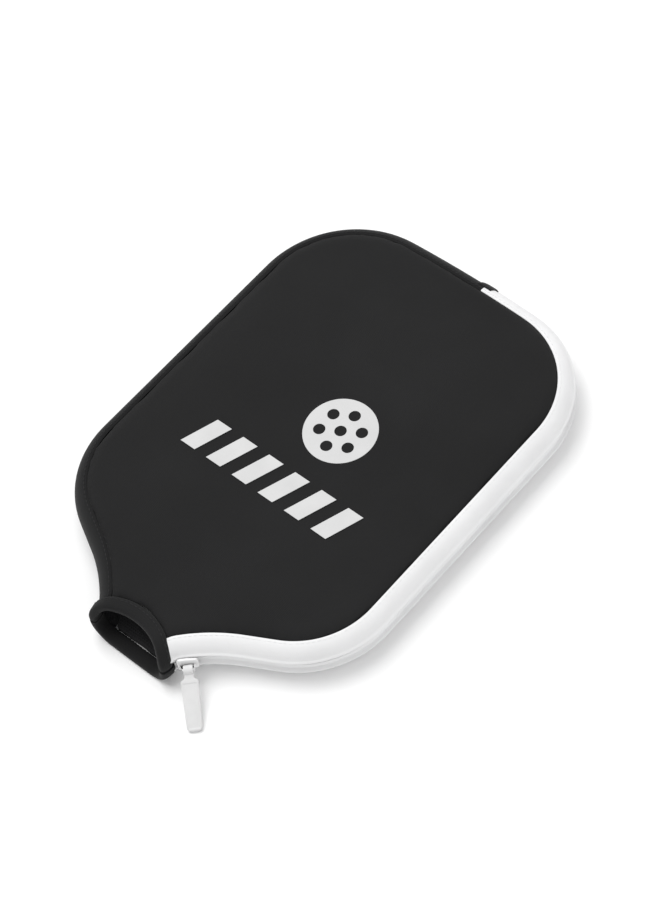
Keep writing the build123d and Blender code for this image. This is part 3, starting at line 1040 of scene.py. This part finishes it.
def place_eye(u, v):
    turn, around = 2 * math.pi * v, 2 * math.pi * u
    reach = 2.2 + 0.6 * math.copysign(abs(math.cos(turn)) ** 0.6, math.cos(turn))
    across = strap_neck_half * math.copysign(abs(math.sin(turn)) ** 0.3, math.sin(turn))
    return bar + (bar_out * math.cos(around) + up * math.sin(around)) * reach + bar_way * across


pull_strap = formed("pull_strap", 110, 56, (strap_length, 23.0), place_strap,
                    joined=True, capped=True)
pull_eye = formed("pull_eye", 40, 28, (18.0, 12.0), place_eye, joined=True)
for piece in (pull_strap, pull_eye):
    dress(piece, "pull_rubber", soft_rubber)
    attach(piece, "pull")
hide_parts("pull_tab")

# ---- Studio -----------------------------------------------------------------------------------
# A plain white floor, an even white surround, a broad light from above and behind the hinge
# side and a weaker one from the zip side. The camera looks down at the zip side.
bpy.ops.mesh.primitive_plane_add(size=60.0, location=(0.0, 0.0, cad_box[0].z))
floor = bpy.context.object
floor.name = "floor"
floor_paint = bpy.data.materials.new("floor_paint")
floor_paint.use_nodes = True
paint = floor_paint.node_tree.nodes["Principled BSDF"]
paint.inputs["Base Color"].default_value = (0.98, 0.98, 0.98, 1.0)
paint.inputs["Roughness"].default_value = 1.0
paint.inputs["Specular IOR Level"].default_value = 0.0
floor.data.materials.append(floor_paint)
world = bpy.data.worlds.new("surround")
bpy.context.scene.world = world
world.use_nodes = True
surround = world.node_tree.nodes["Background"]
surround.inputs["Color"].default_value = (1.0, 1.0, 1.0, 1.0)
surround.inputs["Strength"].default_value = 0.58

azimuth = math.radians(52.0)
elevation = math.radians(56.0)
roll = -0.229
target = Vector((0.0039, 0.0118, 0.010))
camera_distance = 1.5
back = Vector((math.sin(azimuth) * math.cos(elevation), -math.cos(azimuth) * math.cos(elevation),
               math.sin(elevation)))
level_right = Vector((math.cos(azimuth), math.sin(azimuth), 0.0))
level_up = back.cross(level_right)
right = level_right * math.cos(roll) + level_up * math.sin(roll)
top = back.cross(right)
camera_data = bpy.data.cameras.new("camera")
camera_data.lens = 103.9
camera_data.clip_end = 60.0
camera = bpy.data.objects.new("camera", camera_data)
bpy.context.scene.collection.objects.link(camera)
turned = Matrix((right, top, back)).transposed().to_4x4()
camera.matrix_world = Matrix.Translation(target + back * camera_distance) @ turned
bpy.context.scene.camera = camera
bpy.context.scene.view_settings.view_transform = "Standard"

for name, place, size, power in (
    ("key", -right * 0.55 + top * 0.55 + up * 1.3, 1.5, 25.5),
    ("fill", right * 0.9 - top * 0.6 + up * 0.6, 1.4, 3.0),
):
    lamp = bpy.data.lights.new(name, "AREA")
    lamp.size = size
    lamp.energy = power
    light = bpy.data.objects.new(name, lamp)
    bpy.context.scene.collection.objects.link(light)
    light.location = place
    light.rotation_mode = "QUATERNION"
    light.rotation_quaternion = (-place).to_track_quat("-Z", "Y")
